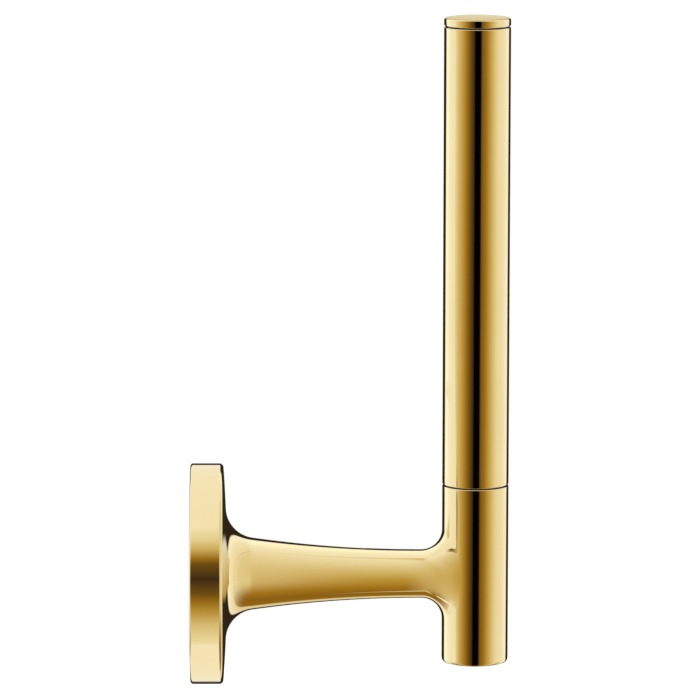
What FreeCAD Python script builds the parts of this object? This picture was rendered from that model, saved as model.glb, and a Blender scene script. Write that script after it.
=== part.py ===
"""Wall-mounted upright holder for a spare toilet roll, in polished brass.

A round rosette flares into a horn-shaped arm, and the arm ends in a short upright socket: one casting.
A closed tube screws down on the socket with a stud, and the roll drops over it.
The rosette hides a round bracket that is screwed to the wall, and a grub screw under its rim holds it there.

Frame, in millimetres: the origin is the centre of the rosette's back on the wall, +X points out of the wall
along the arm's axis, and +Z is up, the way the post stands.
"""

import FreeCAD
import Part
import math
import os

# overall sizes
ROSETTE_D = 50.0
ROSETTE_T = 8.3  # wall to the crown of its face
REACH = 64.5  # wall to the post's axis
POST_D = 15.0
SOCKET_TOP = 20.4  # above the arm's axis
SOCKET_BOTTOM = 20.2  # below it
POST_TOP = 126.5  # top of the cap, above the arm's axis

# rosette and horn
DOME_R = 350.0  # the face is part of a sphere
RIM_EDGE_R = 0.9
BACK_EDGE_R = 0.6
RIM_WALL = 3.0
FACE_WALL = 2.4
WAIST_D = 11.0
WAIST_FROM_POST = 12.5  # the arm is thinnest this far from the post's axis
FLARE_R = 7.0
TAPER_R = 273.0
CORE_MOUTH_D = 9.0  # the casting's drafted core hole, behind the horn
CORE_END_D = 6.0
CORE_END = 38.0  # from the wall
BLEND_R = 4.8  # where the arm runs into the socket
SOCKET_EDGE_R = 0.8

# wall bracket
BRACKET_GAP = 0.2  # all round, inside the rosette
BRACKET_PLATE_T = 2.8
BRACKET_TO_FACE = 0.9  # left free between its ring and the rosette's face wall
BRACKET_RING_WALL = 3.4
SCREW_HOLE_D = 4.8
SCREW_SPACING = 26.0
SCREW_SINK_D = 8.6  # countersink for the wall screws' heads
SCREW_SINK_DEPTH = 1.6
PILOT_D = 8.0  # hole in the middle, which the casting's core faces
GROOVE_DEPTH = 1.3
GROOVE_PLACE = 0.6  # its middle, as a share of the ring's thickness from the wall

# grub screw
GRUB_D = 4.0
GRUB_GAP = 0.05  # all round, in its tapped hole
GRUB_TIP_GAP = 0.06  # between its cone and the groove
GRUB_SUNK = 0.45  # below the rim
GRUB_HEX = 2.0
GRUB_HEX_DEPTH = 1.5

# screwed joint of the post
STUD_D = 8.0
STUD_GAP = 0.05
STUD_IN_SOCKET = 9.0
STUD_IN_POST = 8.5
STUD_CHAMFER = 0.8
HOLE_SPARE = 1.0  # depth left past each end of the stud
SEAM = 0.35  # height of each shadow line
SEAM_INSET = 0.4  # how far the shadow line lies inside the post's skin
EDGE_CHAMFER = 0.25  # on both sides of each shadow line
WASHER_BORE_GAP = 0.25

# post
TUBE_WALL = 1.0
BUSH_GAP = 0.03  # solder film round the bush
BUSH_LENGTH = 14.0
CAP_T = 1.75  # its visible rim, above the shadow line
CAP_EDGE_R = 0.45
SPIGOT_GAP = 0.15
SPIGOT_LENGTH = 6.0
O_RING_SECTION = 1.2
O_RING_GAP = 0.02  # round the ring, to the tube's bore and to its groove
O_RING_DOWN = 3.0  # its middle, below the tube's rim

# worked out
ROSETTE_R = ROSETTE_D / 2
POST_R = POST_D / 2
WAIST_R = WAIST_D / 2
BORE_R = POST_R - TUBE_WALL
CAVITY_R = ROSETTE_R - RIM_WALL
CAVITY_DEPTH = ROSETTE_T - FACE_WALL
BRACKET_R = CAVITY_R - BRACKET_GAP
BRACKET_RING_T = CAVITY_DEPTH - BRACKET_TO_FACE
GRUB_X = BRACKET_RING_T * GROOVE_PLACE
TUBE_FOOT = SOCKET_TOP + SEAM
TUBE_HEAD = POST_TOP - CAP_T - SEAM

SAME = 1e-4  # two lengths this close are the same place
SLACK = 0.1  # added round a box that picks out edges
CUT_PAST = 1.0  # how far a drilled hole's tool runs on into the open

ORIGIN = FreeCAD.Vector(0, 0, 0)
X_AXIS = FreeCAD.Vector(1, 0, 0)
Z_AXIS = FreeCAD.Vector(0, 0, 1)
SOCKET_AXIS = FreeCAD.Vector(REACH, 0, 0)


def side_point(x, radius):
    """A point of a profile that is turned about the arm's axis."""
    return FreeCAD.Vector(x, 0, radius)


def post_point(radius, z):
    """A point of a profile that is turned about the post's axis."""
    return FreeCAD.Vector(REACH + radius, 0, z)


def lines(points):
    """Straight edges from each point to the next."""
    return [Part.makeLine(a, b) for a, b in zip(points, points[1:])]


def arc(start, middle, end):
    return Part.Arc(start, middle, end).toShape()


def turned(edges, base, axis):
    """The solid that a closed profile makes in one full turn."""
    wire = Part.Wire(Part.__sortEdges__(edges))
    return Part.makeSolid(Part.Face(wire).revolve(base, axis, 360).Shells[0])


def turned_about_arm(edges):
    return turned(edges, ORIGIN, X_AXIS)


def turned_about_post(points):
    return turned(lines(points + points[:1]), SOCKET_AXIS, Z_AXIS)


def post_cylinder(radius, bottom, top):
    return Part.makeCylinder(radius, top - bottom, FreeCAD.Vector(REACH, 0, bottom), Z_AXIS)


def arm_cylinder(radius, start, end, y=0.0):
    return Part.makeCylinder(radius, end - start, FreeCAD.Vector(start, y, 0), X_AXIS)


def on_circle(centre, radius, towards):
    """The point of a circle on the ray from its centre through another point."""
    return centre + (towards - centre).normalize() * radius


def circles_meet(a, radius_a, b, radius_b):
    """Where two circles in the XZ plane cross, on the left of the way from a to b."""
    way = b - a
    gap = way.Length
    along = (gap**2 + radius_a**2 - radius_b**2) / (2 * gap)
    aside = math.sqrt(radius_a**2 - along**2)
    way.normalize()
    return a + way * along + FreeCAD.Vector(-way.z, 0, way.x) * aside


def horn_profile():
    """Half section of the rosette and arm as one solid: back, rim, domed face, flare, taper and waist."""
    dome_centre = side_point(ROSETTE_T - DOME_R, 0)
    waist_x = REACH - WAIST_FROM_POST
    taper_centre = side_point(waist_x, WAIST_R + TAPER_R)
    flare_centre = circles_meet(taper_centre, TAPER_R - FLARE_R, dome_centre, DOME_R + FLARE_R)
    face_end = on_circle(dome_centre, DOME_R, flare_centre)
    flare_end = on_circle(taper_centre, TAPER_R, flare_centre)
    rim = side_point(dome_centre.x + math.sqrt(DOME_R**2 - ROSETTE_R**2), ROSETTE_R)
    face_middle = on_circle(dome_centre, DOME_R, (rim + face_end) * 0.5)
    flare_middle = on_circle(flare_centre, FLARE_R, (face_end + flare_end) * 0.5)
    waist = side_point(waist_x, WAIST_R)
    taper_middle = on_circle(taper_centre, TAPER_R, (flare_end + waist) * 0.5)
    return (
        lines([ORIGIN, side_point(0, ROSETTE_R), rim])
        + [arc(rim, face_middle, face_end)]
        + [arc(face_end, flare_middle, flare_end)]
        + [arc(flare_end, taper_middle, waist)]
        + lines([waist, side_point(REACH, WAIST_R), side_point(REACH, 0), ORIGIN])
    )


def circle_edges(shape, x, radius):
    """The edges of a shape that are full circles round the arm's axis, at this place and radius."""
    return [
        edge
        for edge in shape.Edges
        if isinstance(edge.Curve, Part.Circle)
        and abs(edge.Curve.Radius - radius) < SAME
        and abs(edge.Curve.Center.x - x) < SAME
    ]


def blend_edges(shape):
    """The edges where the arm enters the socket."""
    found = []
    for edge in shape.Edges:
        box = edge.BoundBox
        near_post = box.XMin > REACH - POST_R - SLACK and box.XMax < REACH
        if near_post and box.ZMax < WAIST_R + SLACK and box.ZMin > -WAIST_R - SLACK:
            found.append(edge)
    return found


def horn():
    """The rosette and arm, with the rosette's edges rounded."""
    solid = turned_about_arm(horn_profile())
    rim_x = ROSETTE_T - DOME_R + math.sqrt(DOME_R**2 - ROSETTE_R**2)
    solid = solid.makeFillet(RIM_EDGE_R, circle_edges(solid, rim_x, ROSETTE_R))
    return solid.makeFillet(BACK_EDGE_R, circle_edges(solid, 0, ROSETTE_R))


def socket():
    """The upright cylinder at the arm's end, chamfered at the shadow line and rounded underneath."""
    solid = post_cylinder(POST_R, -SOCKET_BOTTOM, SOCKET_TOP)
    bottom = [e for e in solid.Edges if abs(e.BoundBox.ZMax + SOCKET_BOTTOM) < SAME]
    top = [e for e in solid.Edges if abs(e.BoundBox.ZMin - SOCKET_TOP) < SAME]
    return solid.makeFillet(SOCKET_EDGE_R, bottom).makeChamfer(EDGE_CHAMFER, top)


def arm_casting():
    """Rosette, arm and socket in one piece, with the bracket's cavity, the core and both tapped holes."""
    solid = horn().fuse(socket()).removeSplitter()
    solid = solid.makeFillet(BLEND_R, blend_edges(solid))
    core = Part.makeCone(CORE_MOUTH_D / 2, CORE_END_D / 2, CORE_END, ORIGIN, X_AXIS)
    cavity = arm_cylinder(CAVITY_R, 0, CAVITY_DEPTH)
    stud_hole = post_cylinder(
        STUD_D / 2 + STUD_GAP, SOCKET_TOP - STUD_IN_SOCKET - HOLE_SPARE, SOCKET_TOP
    )
    grub_hole = Part.makeCylinder(
        GRUB_D / 2 + GRUB_GAP,
        RIM_WALL + CUT_PAST * 2,
        FreeCAD.Vector(GRUB_X, 0, -CAVITY_R + CUT_PAST),
        FreeCAD.Vector(0, 0, -1),
    )
    return solid.cut(core).cut(cavity).cut(stud_hole).cut(grub_hole)


def wall_bracket():
    """Round plate with a thick ring. The grub screw's cone pulls on the groove round the ring."""
    ring_bore = BRACKET_R - BRACKET_RING_WALL
    outline = [
        side_point(0, PILOT_D / 2),
        side_point(0, BRACKET_R),
        side_point(GRUB_X - GROOVE_DEPTH, BRACKET_R),
        side_point(GRUB_X, BRACKET_R - GROOVE_DEPTH),
        side_point(GRUB_X + GROOVE_DEPTH, BRACKET_R),
        side_point(BRACKET_RING_T, BRACKET_R),
        side_point(BRACKET_RING_T, ring_bore),
        side_point(BRACKET_PLATE_T, ring_bore),
        side_point(BRACKET_PLATE_T, PILOT_D / 2),
    ]
    solid = turned_about_arm(lines(outline + outline[:1]))
    for side in (-1, 1):
        y = side * SCREW_SPACING / 2
        sink = Part.makeCone(
            SCREW_HOLE_D / 2,
            SCREW_SINK_D / 2,
            SCREW_SINK_DEPTH,
            FreeCAD.Vector(BRACKET_PLATE_T - SCREW_SINK_DEPTH, y, 0),
            X_AXIS,
        )
        solid = solid.cut(arm_cylinder(SCREW_HOLE_D / 2, 0, BRACKET_PLATE_T, y)).cut(sink)
    return solid


def grub_screw():
    """Set screw with a right-angled cone point and a hexagon socket, standing under the rim."""
    foot = -ROSETTE_R + GRUB_SUNK
    tip = -(BRACKET_R - GROOVE_DEPTH) - GRUB_TIP_GAP * math.sqrt(2)
    shoulder = tip - GRUB_D / 2
    profile = [
        FreeCAD.Vector(GRUB_X, 0, foot),
        FreeCAD.Vector(GRUB_X + GRUB_D / 2, 0, foot),
        FreeCAD.Vector(GRUB_X + GRUB_D / 2, 0, shoulder),
        FreeCAD.Vector(GRUB_X, 0, tip),
    ]
    solid = turned(lines(profile + profile[:1]), profile[0], Z_AXIS)
    corners = [
        FreeCAD.Vector(
            GRUB_X + GRUB_HEX / math.sqrt(3) * math.cos(math.radians(60 * i)),
            GRUB_HEX / math.sqrt(3) * math.sin(math.radians(60 * i)),
            foot,
        )
        for i in range(6)
    ]
    hexagon = Part.Face(Part.makePolygon(corners + corners[:1]))
    return solid.cut(hexagon.extrude(FreeCAD.Vector(0, 0, GRUB_HEX_DEPTH)))


def post_stud():
    """The stud that joins post and socket, drawn at its thread's outer diameter."""
    bottom, top, radius = SOCKET_TOP - STUD_IN_SOCKET, TUBE_FOOT + STUD_IN_POST, STUD_D / 2
    return turned_about_post([
        post_point(0, bottom),
        post_point(radius - STUD_CHAMFER, bottom),
        post_point(radius, bottom + STUD_CHAMFER),
        post_point(radius, top - STUD_CHAMFER),
        post_point(radius - STUD_CHAMFER, top),
        post_point(0, top),
    ])


def foot_washer():
    """Thin washer in the lower shadow line, which keeps the post's foot off the socket's polish."""
    outside = post_cylinder(POST_R - SEAM_INSET, SOCKET_TOP, TUBE_FOOT)
    return outside.cut(post_cylinder(STUD_D / 2 + WASHER_BORE_GAP, SOCKET_TOP, TUBE_FOOT))


def foot_bush():
    """Turned plug soldered in the tube's foot, with a blind hole for the stud."""
    solid = post_cylinder(BORE_R - BUSH_GAP, TUBE_FOOT, TUBE_FOOT + BUSH_LENGTH)
    return solid.cut(
        post_cylinder(STUD_D / 2 + STUD_GAP, TUBE_FOOT, TUBE_FOOT + STUD_IN_POST + HOLE_SPARE)
    )


def post_tube():
    """The polished tube that carries the roll."""
    return turned_about_post([
        post_point(BORE_R, TUBE_FOOT),
        post_point(POST_R - EDGE_CHAMFER, TUBE_FOOT),
        post_point(POST_R, TUBE_FOOT + EDGE_CHAMFER),
        post_point(POST_R, TUBE_HEAD - EDGE_CHAMFER),
        post_point(POST_R - EDGE_CHAMFER, TUBE_HEAD),
        post_point(BORE_R, TUBE_HEAD),
    ])


def groove_radius():
    """Radius of the floor of the cap's ring groove."""
    return BORE_R - O_RING_SECTION - 2 * O_RING_GAP


def post_cap():
    """Cap with a shadow line under its rim and a grooved spigot that pushes into the tube."""
    spigot_r = BORE_R - SPIGOT_GAP
    groove_half = O_RING_SECTION / 2 + O_RING_GAP
    ring_z = TUBE_HEAD - O_RING_DOWN
    step_r = POST_R - SEAM_INSET
    solid = turned_about_post([
        post_point(0, TUBE_HEAD - SPIGOT_LENGTH),
        post_point(spigot_r, TUBE_HEAD - SPIGOT_LENGTH),
        post_point(spigot_r, ring_z - groove_half),
        post_point(groove_radius(), ring_z - groove_half),
        post_point(groove_radius(), ring_z + groove_half),
        post_point(spigot_r, ring_z + groove_half),
        post_point(spigot_r, TUBE_HEAD),
        post_point(step_r, TUBE_HEAD),
        post_point(step_r, TUBE_HEAD + SEAM),
        post_point(POST_R - EDGE_CHAMFER, TUBE_HEAD + SEAM),
        post_point(POST_R, TUBE_HEAD + SEAM + EDGE_CHAMFER),
        post_point(POST_R, POST_TOP),
        post_point(0, POST_TOP),
    ])
    rim = [
        e
        for e in solid.Edges
        if isinstance(e.Curve, Part.Circle)
        and abs(e.Curve.Radius - POST_R) < SAME
        and abs(e.Curve.Center.z - POST_TOP) < SAME
    ]
    return solid.makeFillet(CAP_EDGE_R, rim)


def cap_o_ring():
    """Rubber ring that grips the tube's bore."""
    middle_r = groove_radius() + O_RING_GAP + O_RING_SECTION / 2
    ring_z = TUBE_HEAD - O_RING_DOWN
    return Part.makeTorus(
        middle_r, O_RING_SECTION / 2, FreeCAD.Vector(REACH, 0, ring_z), Z_AXIS
    )


PIECES = [
    arm_casting,
    wall_bracket,
    grub_screw,
    post_stud,
    foot_washer,
    foot_bush,
    post_tube,
    post_cap,
    cap_o_ring,
]


def main():
    os.makedirs("parts", exist_ok=True)
    for piece in PIECES:
        shape = piece()
        solids = shape.Solids
        if len(solids) != 1 or not shape.isValid() or shape.Volume <= 0:
            raise ValueError(f"{piece.__name__} is not one valid solid")
        solids[0].exportStep(f"parts/{piece.__name__}.step")
        print(f"{piece.__name__}: {solids[0].Volume:.1f} mm3")


main()
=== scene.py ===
"""Looks of the upright holder for a spare toilet roll: polished gold outside, plain metal where it is hidden.

Lengths in this file are in millimetres until they reach a mesh, which is in metres.
"""

import math

import bmesh
import bpy
from mathutils import Euler, Matrix, Vector


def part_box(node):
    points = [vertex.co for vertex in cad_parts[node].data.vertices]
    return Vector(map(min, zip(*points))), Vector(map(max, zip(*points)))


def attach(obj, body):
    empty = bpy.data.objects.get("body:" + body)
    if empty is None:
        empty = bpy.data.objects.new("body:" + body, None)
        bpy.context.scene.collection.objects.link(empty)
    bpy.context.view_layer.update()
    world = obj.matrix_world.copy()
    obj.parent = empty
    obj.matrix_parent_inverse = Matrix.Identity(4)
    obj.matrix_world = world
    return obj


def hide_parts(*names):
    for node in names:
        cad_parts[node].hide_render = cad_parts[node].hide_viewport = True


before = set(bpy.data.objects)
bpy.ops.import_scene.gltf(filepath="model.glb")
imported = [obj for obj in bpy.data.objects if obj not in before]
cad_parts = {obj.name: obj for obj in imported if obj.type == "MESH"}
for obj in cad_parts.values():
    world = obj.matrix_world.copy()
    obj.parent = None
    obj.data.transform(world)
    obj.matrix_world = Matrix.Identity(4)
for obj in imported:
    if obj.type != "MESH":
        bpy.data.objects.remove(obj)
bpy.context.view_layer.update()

MM = 0.001


def size_of(node):
    """Lowest and highest corner of a node, in millimetres."""
    low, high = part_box(node)
    return Vector(low) / MM, Vector(high) / MM


CASTING_HIGH = size_of("arm_casting")[1]
TUBE_LOW, TUBE_HIGH = size_of("post_tube")
CAP_LOW, CAP_HIGH = size_of("post_cap")
WASHER_LOW, WASHER_HIGH = size_of("foot_washer")
BUSH_LOW, BUSH_HIGH = size_of("foot_bush")
STUD_LOW, STUD_HIGH = size_of("post_stud")
GRUB_LOW, GRUB_HIGH = size_of("grub_screw")
BRACKET_HIGH = size_of("wall_bracket")[1]
RING_LOW, RING_HIGH = size_of("cap_o_ring")

# casting
ROSETTE_R = CASTING_HIGH.y
POST_R = TUBE_HIGH.y
REACH = (TUBE_LOW.x + TUBE_HIGH.x) / 2  # wall to the post's axis
SOCKET_TOP = WASHER_LOW.z
SOCKET_BOTTOM = 20.2
ROSETTE_T = 8.3
DOME_R = 350.0
RIM_EDGE_R = 0.9
BACK_EDGE_R = 0.6
CAVITY_R = 22.0
CAVITY_DEPTH = 5.9
WAIST_R = 5.5
WAIST_FROM_POST = 12.5
FLARE_R = 7.0
TAPER_R = 273.0
BLEND_R = 4.8
BLEND_SOFTER = 7.0  # how much larger the blend's radius is at the arm's sides
SOCKET_EDGE_R = 0.8
SEAM_EDGE_R = 0.22
CORE_MOUTH_R = 4.5
CORE_END_R = 3.0
CORE_END = 38.0
STUD_HOLE_R = 4.05
STUD_HOLE_BOTTOM = STUD_LOW.z - 1.0
GRUB_HOLE_R = 2.05
GRUB_X = (GRUB_LOW.x + GRUB_HIGH.x) / 2

# post
TUBE_WALL = 1.0
SPIGOT_R = POST_R - TUBE_WALL - 0.15
CAP_EDGE_R = 0.45
CAP_STEP_R = POST_R - 0.4
GROOVE_DEEP = 1.09  # of the cap's groove for its ring
SEAM = WASHER_HIGH.z - WASHER_LOW.z
SLIP = 0.02  # left between the washer and what it lies against

AROUND = 192  # facets round the arm, a multiple of eight
TURN_STEPS = 256  # facets round a turned piece
THREAD_STEPS = 40  # steps of a thread for each turn
PATH_R = 0.001  # radius of the circle that carries a profile, in metres


# ---------------------------------------------------------------- shader maths


class Val:
    """A value socket of a node tree that takes part in Python expressions."""

    def __init__(self, tree, socket):
        self.tree = tree
        self.socket = socket

    def _math(self, operation, a, b=None):
        node = self.tree.nodes.new("ShaderNodeMath")
        node.operation = operation
        for slot, value in zip(node.inputs, (a, b)):
            if isinstance(value, Val):
                self.tree.links.new(value.socket, slot)
            elif value is not None:
                slot.default_value = value
        return Val(self.tree, node.outputs[0])

    def __add__(self, other):
        return self._math("ADD", self, other)

    __radd__ = __add__

    def __sub__(self, other):
        return self._math("SUBTRACT", self, other)

    def __rsub__(self, other):
        return self._math("SUBTRACT", other, self)

    def __mul__(self, other):
        return self._math("MULTIPLY", self, other)

    __rmul__ = __mul__

    def __truediv__(self, other):
        return self._math("DIVIDE", self, other)

    def abs(self):
        return self._math("ABSOLUTE", self)

    def power(self, exponent):
        return self._math("POWER", self, exponent)

    def low(self, other):
        return self._math("MINIMUM", self, other)

    def high(self, other):
        return self._math("MAXIMUM", self, other)

    def arc_cosine(self):
        return self._math("ARCCOSINE", self)

    def angle_to(self, other):
        return self._math("ARCTAN2", self, other)


class Nodes:
    """A node tree to which nodes are added by type, settings and inputs."""

    def __init__(self, tree):
        self.tree = tree

    def node(self, kind, settings=None, inputs=None):
        node = self.tree.nodes.new(kind)
        for name, value in (settings or {}).items():
            if name == "stops":
                self._set_stops(node.color_ramp, value)
            else:
                setattr(node, name, value)
        for name, value in (inputs or {}).items():
            if isinstance(value, Val):
                value = value.socket
            if isinstance(value, bpy.types.NodeSocket):
                self.tree.links.new(value, node.inputs[name])
            else:
                node.inputs[name].default_value = value
        return node

    @staticmethod
    def _set_stops(ramp, stops):
        while len(ramp.elements) < len(stops):
            ramp.elements.new(0.5)
        for element, (place, colour) in zip(ramp.elements, stops):
            element.position = place
            element.color = (*colour, 1.0)

    def value(self, socket):
        return Val(self.tree, socket)


class Tree(Nodes):
    """The nodes of a material or of the world."""

    def __init__(self, tree):
        super().__init__(tree)
        tree.nodes.clear()

    def smooth(self, value, start, end):
        """0 below start, 1 above end, and a soft step between."""
        node = self.node(
            "ShaderNodeMapRange",
            {"interpolation_type": "SMOOTHSTEP"},
            {"Value": value, "From Min": start, "From Max": end},
        )
        return self.value(node.outputs["Result"])

    def place(self, scale=(1, 1, 1)):
        """Object coordinates in millimetres, stretched."""
        where = self.node("ShaderNodeTexCoord").outputs["Object"]
        return self.node(
            "ShaderNodeMapping",
            None,
            {"Vector": where, "Scale": [s / MM for s in scale]},
        ).outputs["Vector"]

    def noise(self, vector, scale, detail=2.0, roughness=0.5):
        node = self.node(
            "ShaderNodeTexNoise",
            None,
            {"Vector": vector, "Scale": scale, "Detail": detail, "Roughness": roughness},
        )
        return self.value(node.outputs["Fac"])

    def mix(self, factor, a, b):
        node = self.node(
            "ShaderNodeMix",
            {"data_type": "RGBA"},
            {0: factor, 6: (*a, 1) if isinstance(a, tuple) else a, 7: (*b, 1) if isinstance(b, tuple) else b},
        )
        return node.outputs[2]

    def bump(self, height, distance):
        return self.node("ShaderNodeBump", None, {"Height": height, "Distance": distance}).outputs["Normal"]

    def blend(self, factor, a, b):
        """A mix of two shaders."""
        return self.node("ShaderNodeMixShader", None, {0: factor, 1: a, 2: b}).outputs[0]

    def output(self, shader, kind="ShaderNodeOutputMaterial"):
        self.node(kind, None, {"Surface": shader})


def new_material(name):
    material = bpy.data.materials.new(name)
    material.use_nodes = True
    return material, Tree(material.node_tree)


def finish_surface(tree, **inputs):
    """Principled shader with these inputs, wired to the output."""
    named = {name.replace("_", " "): value for name, value in inputs.items()}
    shader = tree.node("ShaderNodeBsdfPrincipled", None, named)
    tree.output(shader.outputs[0])


# ---------------------------------------------------------------- materials


def painted_seam_shadow(tree):
    """1 in the narrow gap under the post's lid, where shade falls: the mask of a painted shadow in the gold's
    colour.
    """
    parts = tree.node("ShaderNodeSeparateXYZ", None, {0: tree.place()})
    x, y, z = (tree.value(parts.outputs[i]) for i in range(3))
    from_axis = ((x - REACH).power(2.0) + y.power(2.0)).power(0.5)
    middle = TUBE_HIGH.z + SEAM / 2
    in_gap = 1 - tree.smooth((z - middle).abs(), SEAM / 2, SEAM / 2 + 0.08)
    return in_gap * (1 - tree.smooth(from_axis, POST_R - 0.3, POST_R - 0.1))


def polished_gold():
    """Mirror-polished brass under a thin gold-coloured coat: faint haze, hairlines and a breath of tone, with
    a painted shadow in the gap under the lid.
    """
    material, tree = new_material("polished_gold")
    broad = tree.noise(tree.place(), 0.045, 3.0)
    hairlines = tree.noise(tree.place((1.0, 1.0, 0.12)), 6.0, 3.0, 0.65)
    cross_lines = tree.noise(tree.place((0.14, 1.0, 1.0)), 5.0, 3.0, 0.65)
    pits = tree.noise(tree.place(), 9.0, 2.0)
    colour = tree.mix(tree.smooth(broad, 0.35, 0.65), (0.955, 0.79, 0.425), (0.94, 0.77, 0.40))
    # painted shadow: the gold turns near black in the gap under the lid, where shade falls
    colour = tree.mix(painted_seam_shadow(tree), colour, (0.02, 0.014, 0.006))
    rough = 0.035 + tree.smooth(broad, 0.4, 0.7) * 0.012 + tree.smooth(hairlines, 0.55, 0.8) * 0.03
    height = hairlines * 0.5 + cross_lines * 0.3 + pits * 0.2
    finish_surface(
        tree,
        Base_Color=colour,
        Metallic=1.0,
        Roughness=rough,
        Normal=tree.bump(height, 0.0000006),
    )
    return material


def cast_brass():
    """The casting's hidden inside: sand-blasted, dull and a little darker in its pores."""
    material, tree = new_material("cast_brass")
    grain = tree.noise(tree.place(), 2.4, 4.0, 0.7)
    patches = tree.noise(tree.place(), 0.12, 2.0)
    colour = tree.mix(tree.smooth(patches, 0.3, 0.7), (0.62, 0.44, 0.19), (0.50, 0.35, 0.15))
    finish_surface(
        tree,
        Base_Color=colour,
        Metallic=0.9,
        Roughness=0.42 + grain * 0.25,
        Normal=tree.bump(grain, 0.00009),
    )
    return material


def turned_metal(name, light, dark, rough, ring=3.2):
    """Metal straight from the lathe: fine rings along the axes and a little staining."""
    material, tree = new_material(name)
    rings = tree.noise(tree.place((1.0, 0.02, 1.0)), ring, 2.0, 0.6)
    stain = tree.noise(tree.place(), 0.25, 3.0)
    colour = tree.mix(tree.smooth(stain, 0.35, 0.7), light, dark)
    finish_surface(
        tree,
        Base_Color=colour,
        Metallic=1.0,
        Roughness=rough + rings * 0.12,
        Normal=tree.bump(rings, 0.00002),
    )
    return material


def soft_black(name, colour, rough, grain_height):
    """Dull black nylon or rubber with a fine moulded grain."""
    material, tree = new_material(name)
    grain = tree.noise(tree.place(), 4.0, 3.0)
    tone = tree.mix(tree.smooth(grain, 0.3, 0.7), colour, tuple(c * 1.6 for c in colour))
    finish_surface(
        tree,
        Base_Color=tone,
        Roughness=rough + grain * 0.15,
        Normal=tree.bump(grain, grain_height),
    )
    return material


# ---------------------------------------------------------------- mesh building


class Skin:
    """Loops of points, and the faces between them, on the way to a mesh."""

    def __init__(self):
        self.points = []
        self.faces = []
        self.looks = []
        self.look = 0

    def loop(self, points):
        start = len(self.points)
        self.points.extend(points)
        return list(range(start, len(self.points)))

    def face(self, corners):
        self.faces.append(corners)
        self.looks.append(self.look)

    def band(self, a, b, closed=True):
        """Quads between two loops with as many points each."""
        count = len(a)
        for i in range(count if closed else count - 1):
            j = (i + 1) % count
            self.face((a[i], a[j], b[j], b[i]))

    def bands(self, loops, closed=True):
        for a, b in zip(loops, loops[1:]):
            self.band(a, b, closed)

    def grid(self, rows):
        """Quads between open rows of points."""
        self.bands([self.loop(row) for row in rows], closed=False)

    def fan(self, loop, centre):
        middle = self.loop([centre])[0]
        for i, corner in enumerate(loop):
            self.face((corner, loop[(i + 1) % len(loop)], middle))

    def mesh(self, name, materials):
        mesh = bpy.data.meshes.new(name)
        mesh.from_pydata([Vector(p) * MM for p in self.points], [], self.faces)
        mesh.polygons.foreach_set("material_index", self.looks)
        return finished(name, mesh, materials)


def finished(name, mesh, materials, sharp=32.0):
    """An object with this mesh, its doubles merged and normals outwards. Edges past an angle stay sharp."""
    work = bmesh.new()
    work.from_mesh(mesh)
    bmesh.ops.remove_doubles(work, verts=work.verts, dist=1e-7)
    bmesh.ops.dissolve_degenerate(work, edges=work.edges, dist=1e-8)
    bmesh.ops.recalc_face_normals(work, faces=work.faces)
    for face in work.faces:
        face.smooth = True
    for edge in work.edges:
        edge.smooth = len(edge.link_faces) == 2 and edge.calc_face_angle(0) < math.radians(sharp)
    work.to_mesh(mesh)
    work.free()
    for material in materials:
        mesh.materials.append(material)
    piece = bpy.data.objects.new(name, mesh)
    bpy.context.scene.collection.objects.link(piece)
    return piece


def steps(start, end, count):
    """Evenly spaced values from start to end, both included."""
    return [start + (end - start) * i / count for i in range(count + 1)]


def arc_points(centre, radius, start, end, count):
    """Points of a circle in a plane, between two angles in degrees."""
    found = []
    for angle in steps(math.radians(start), math.radians(end), count):
        found.append((centre[0] + radius * math.cos(angle), centre[1] + radius * math.sin(angle)))
    return found


def arc_between(centre, start, end, count):
    """Points of the shorter arc about a centre, from one point to another."""
    a = math.degrees(math.atan2(start[1] - centre[1], start[0] - centre[0]))
    b = math.degrees(math.atan2(end[1] - centre[1], end[0] - centre[0]))
    if b - a > 180:
        b -= 360
    if a - b > 180:
        b += 360
    return arc_points(centre, math.dist(centre, start), a, b, count)


def towards(centre, radius, other):
    """The point of a circle on the ray from its centre through another point."""
    far = math.dist(centre, other)
    return tuple(c + (o - c) * radius / far for c, o in zip(centre, other))


def circles_meet(a, radius_a, b, radius_b):
    """Where two circles cross, on the left of the way from a to b."""
    gap = math.dist(a, b)
    along = (gap**2 + radius_a**2 - radius_b**2) / (2 * gap)
    aside = math.sqrt(radius_a**2 - along**2)
    way = ((b[0] - a[0]) / gap, (b[1] - a[1]) / gap)
    return (
        a[0] + way[0] * along - way[1] * aside,
        a[1] + way[1] * along + way[0] * aside,
    )


# ---------------------------------------------------------------- casting


def round_arm(x, radius, turn):
    """A point on a circle about the arm's axis. A turn of zero is straight up."""
    return (x, radius * math.sin(turn), radius * math.cos(turn))


def arm_loop(skin, x, radius):
    return skin.loop([round_arm(x, radius, math.tau * i / AROUND) for i in range(AROUND)])


def outer_profile():
    """The rosette's front from the end of its rim to the arm's waist, as (x, radius)."""
    dome = (ROSETTE_T - DOME_R, 0.0)
    waist = (REACH - WAIST_FROM_POST, WAIST_R)
    taper = (waist[0], WAIST_R + TAPER_R)
    flare = circles_meet(taper, TAPER_R - FLARE_R, dome, DOME_R + FLARE_R)
    face_end = towards(dome, DOME_R, flare)
    flare_end = towards(taper, TAPER_R, flare)
    inner = DOME_R - RIM_EDGE_R
    edge = (dome[0] + math.sqrt(inner**2 - (ROSETTE_R - RIM_EDGE_R) ** 2), ROSETTE_R - RIM_EDGE_R)
    rim_end = (edge[0], ROSETTE_R)
    face_start = towards(dome, DOME_R, edge)
    return (
        arc_between(edge, rim_end, face_start, 12)
        + arc_between(dome, face_start, face_end, 14)[1:]
        + arc_between(flare, face_end, flare_end, 28)[1:]
        + arc_between(taper, flare_end, waist, 40)[1:]
    )


HOLE_STEPS = 10  # rows of the rim, and columns each side of its hole
RIM_ROWS = 10


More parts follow.
